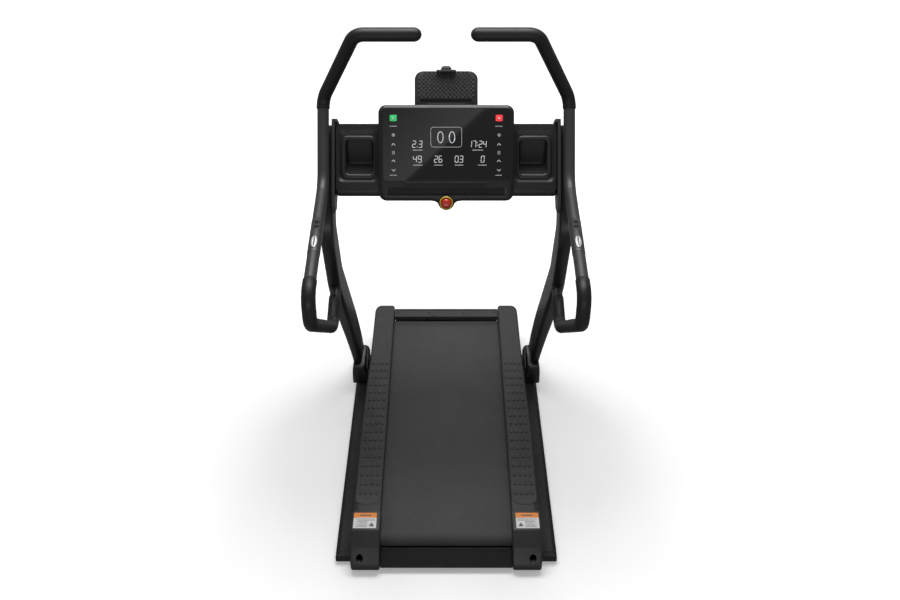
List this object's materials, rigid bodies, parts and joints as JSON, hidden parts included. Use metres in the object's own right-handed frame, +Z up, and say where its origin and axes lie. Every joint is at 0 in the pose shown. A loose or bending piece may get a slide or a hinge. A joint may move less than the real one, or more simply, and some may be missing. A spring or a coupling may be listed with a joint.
{
  "type": "treadmill",
  "caption": "Compact incline treadmill with curved uprights, console, cup holders, tablet rest and looped handlebars; the deck tilts, rollers and motor turn.",
  "frame": {"origin": "on the floor, under the middle of the whole machine", "axes": "+Y is the walking direction, towards the console; +X is to the walker's right; +Z is up"},
  "size_m": [0.8056, 1.2674, 1.5335],
  "materials": {
    "frame_black": "satin powder coat",
    "steel_grey": "machined",
    "rail_plastic": "fine moulded grain",
    "panel_plastic": "fine moulded grain",
    "gloss_black": "polished",
    "foam_black": "matt foam skin",
    "rubber_black": "matt",
    "belt_black": "fine diamond-textured top cover",
    "board_brown": "waxed board",
    "motor_grey": "satin paint",
    "sensor_silver": "satin chrome",
    "safety_yellow": "gloss",
    "safety_red": "gloss"
  },
  "bodies": {
    "base": {"base_frame": "frame_black", "rail_end_cap_left": "rubber_black", "rail_end_cap_right": "rubber_black", "rubber_foot_rear_left": "rubber_black", "rubber_foot_rear_right": "rubber_black", "rubber_foot_front_left": "rubber_black", "rubber_foot_front_right": "rubber_black", "upright_left": "frame_black", "upright_right": "frame_black", "foot_sleeve_left": "panel_plastic", "foot_sleeve_right": "panel_plastic", "handle_tube_left": "frame_black", "handle_tube_right": "frame_black", "lower_grip_left": "foam_black", "lower_grip_right": "foam_black", "upper_grip_left": "foam_black", "upper_grip_right": "foam_black", "pulse_sensor_left": "sensor_silver", "pulse_sensor_right": "sensor_silver", "cross_panel": "panel_plastic", "cross_panel_back": "panel_plastic", "cross_beam": "frame_black", "cup_liner_left": "gloss_black", "cup_liner_right": "gloss_black", "side_bracket_left": "panel_plastic", "side_bracket_right": "panel_plastic", "console_housing": "panel_plastic", "console_bezel": "panel_plastic", "display_glass": "gloss_black", "stop_ring": "safety_yellow", "tablet_rest": "panel_plastic"},
    "deck": {"deck_frame": "frame_black", "deck_board": "board_brown", "walking_belt": "belt_black", "side_rail_left": "rail_plastic", "side_rail_right": "rail_plastic", "end_cap_left": "rail_plastic", "end_cap_right": "rail_plastic", "pivot_pin_left": "steel_grey", "pivot_pin_right": "steel_grey", "front_cover": "rail_plastic", "rear_cover": "rail_plastic", "drive_motor": "motor_grey", "drive_belt": "rubber_black", "motor_controller": "motor_grey", "power_inlet": "rubber_black"},
    "front_roller": {"front_roller": "steel_grey"},
    "rear_roller": {"rear_roller": "steel_grey"},
    "motor_rotor": {"motor_pulley": "steel_grey"},
    "actuator": {"incline_actuator": "motor_grey"},
    "actuator_rod": {"actuator_rod": "steel_grey"},
    "stop_button": {"stop_button": "safety_red"},
    "tablet_clip": {"tablet_clip": "panel_plastic"},
    "left_rear_button": {"rear_button_left": "rubber_black"},
    "right_rear_button": {"rear_button_right": "rubber_black"},
    "left_front_button": {"front_button_left": "rubber_black"},
    "right_front_button": {"front_button_right": "rubber_black"},
    "left_wheel": {"transport_wheel_left": "rubber_black"},
    "right_wheel": {"transport_wheel_right": "rubber_black"}
  },
  "joints": [
    {"name": "deck_incline", "type": "hinge", "parent": "base", "child": "deck", "pos_m": [0, -0.56, 0.028], "axis": [1, 0, 0], "range_deg": [0, 12]},
    {"name": "front_roller_spin", "type": "hinge", "parent": "deck", "child": "front_roller", "pos_m": [0, 0.54087, 0.12204], "axis": [1, 0, 0], "continuous": true},
    {"name": "rear_roller_spin", "type": "hinge", "parent": "deck", "child": "rear_roller", "pos_m": [0, -0.54501, 0.07273], "axis": [1, 0, 0], "continuous": true},
    {"name": "motor_spin", "type": "hinge", "parent": "deck", "child": "motor_rotor", "pos_m": [0, 0.57619, 0.07159], "axis": [1, 0, 0], "continuous": true},
    {"name": "actuator_swing", "type": "hinge", "parent": "base", "child": "actuator", "pos_m": [0, 0.295, 0.032], "axis": [1, 0, 0], "range_deg": [0, 50.93]},
    {"name": "actuator_extend", "type": "slide", "parent": "actuator", "child": "actuator_rod", "axis": [0, 0.9865, 0.1635], "range_m": [0, 0.10768]},
    {"name": "stop_press", "type": "slide", "parent": "base", "child": "stop_button", "axis": [0, 0.9489, -0.3156], "range_m": [0, 0.005], "stiffness_N_per_m": 600, "springref_m": -0.002},
    {"name": "tablet_clip_lift", "type": "slide", "parent": "base", "child": "tablet_clip", "axis": [0, 0.5592, 0.829], "range_m": [0, 0.055], "stiffness_N_per_m": 120, "springref_m": -0.01},
    {"name": "left_rear_button_press", "type": "slide", "parent": "base", "child": "left_rear_button", "axis": [0, 0.1993, -0.9799], "range_m": [0, 0.0015], "stiffness_N_per_m": 400, "springref_m": -0.001},
    {"name": "right_rear_button_press", "type": "slide", "parent": "base", "child": "right_rear_button", "axis": [0, 0.1993, -0.9799], "range_m": [0, 0.0015], "stiffness_N_per_m": 400, "springref_m": -0.001},
    {"name": "left_front_button_press", "type": "slide", "parent": "base", "child": "left_front_button", "axis": [0, 0.1993, -0.9799], "range_m": [0, 0.0015], "stiffness_N_per_m": 400, "springref_m": -0.001},
    {"name": "right_front_button_press", "type": "slide", "parent": "base", "child": "right_front_button", "axis": [0, 0.1993, -0.9799], "range_m": [0, 0.0015], "stiffness_N_per_m": 400, "springref_m": -0.001},
    {"name": "left_wheel_spin", "type": "hinge", "parent": "base", "child": "left_wheel", "pos_m": [-0.2865, 0.397, 0.031], "axis": [1, 0, 0], "continuous": true},
    {"name": "right_wheel_spin", "type": "hinge", "parent": "base", "child": "right_wheel", "pos_m": [0.2865, 0.397, 0.031], "axis": [1, 0, 0], "continuous": true}
  ],
  "couplings": [
    {"joint": "rear_roller_spin", "follows": "front_roller_spin", "ratio": 1},
    {"joint": "motor_spin", "follows": "front_roller_spin", "ratio": 2.5},
    {"joint": "actuator_swing", "follows": "deck_incline", "ratio": 4.2445},
    {"joint": "actuator_extend", "follows": "deck_incline", "m_per_rad": 0.51414}
  ]
}
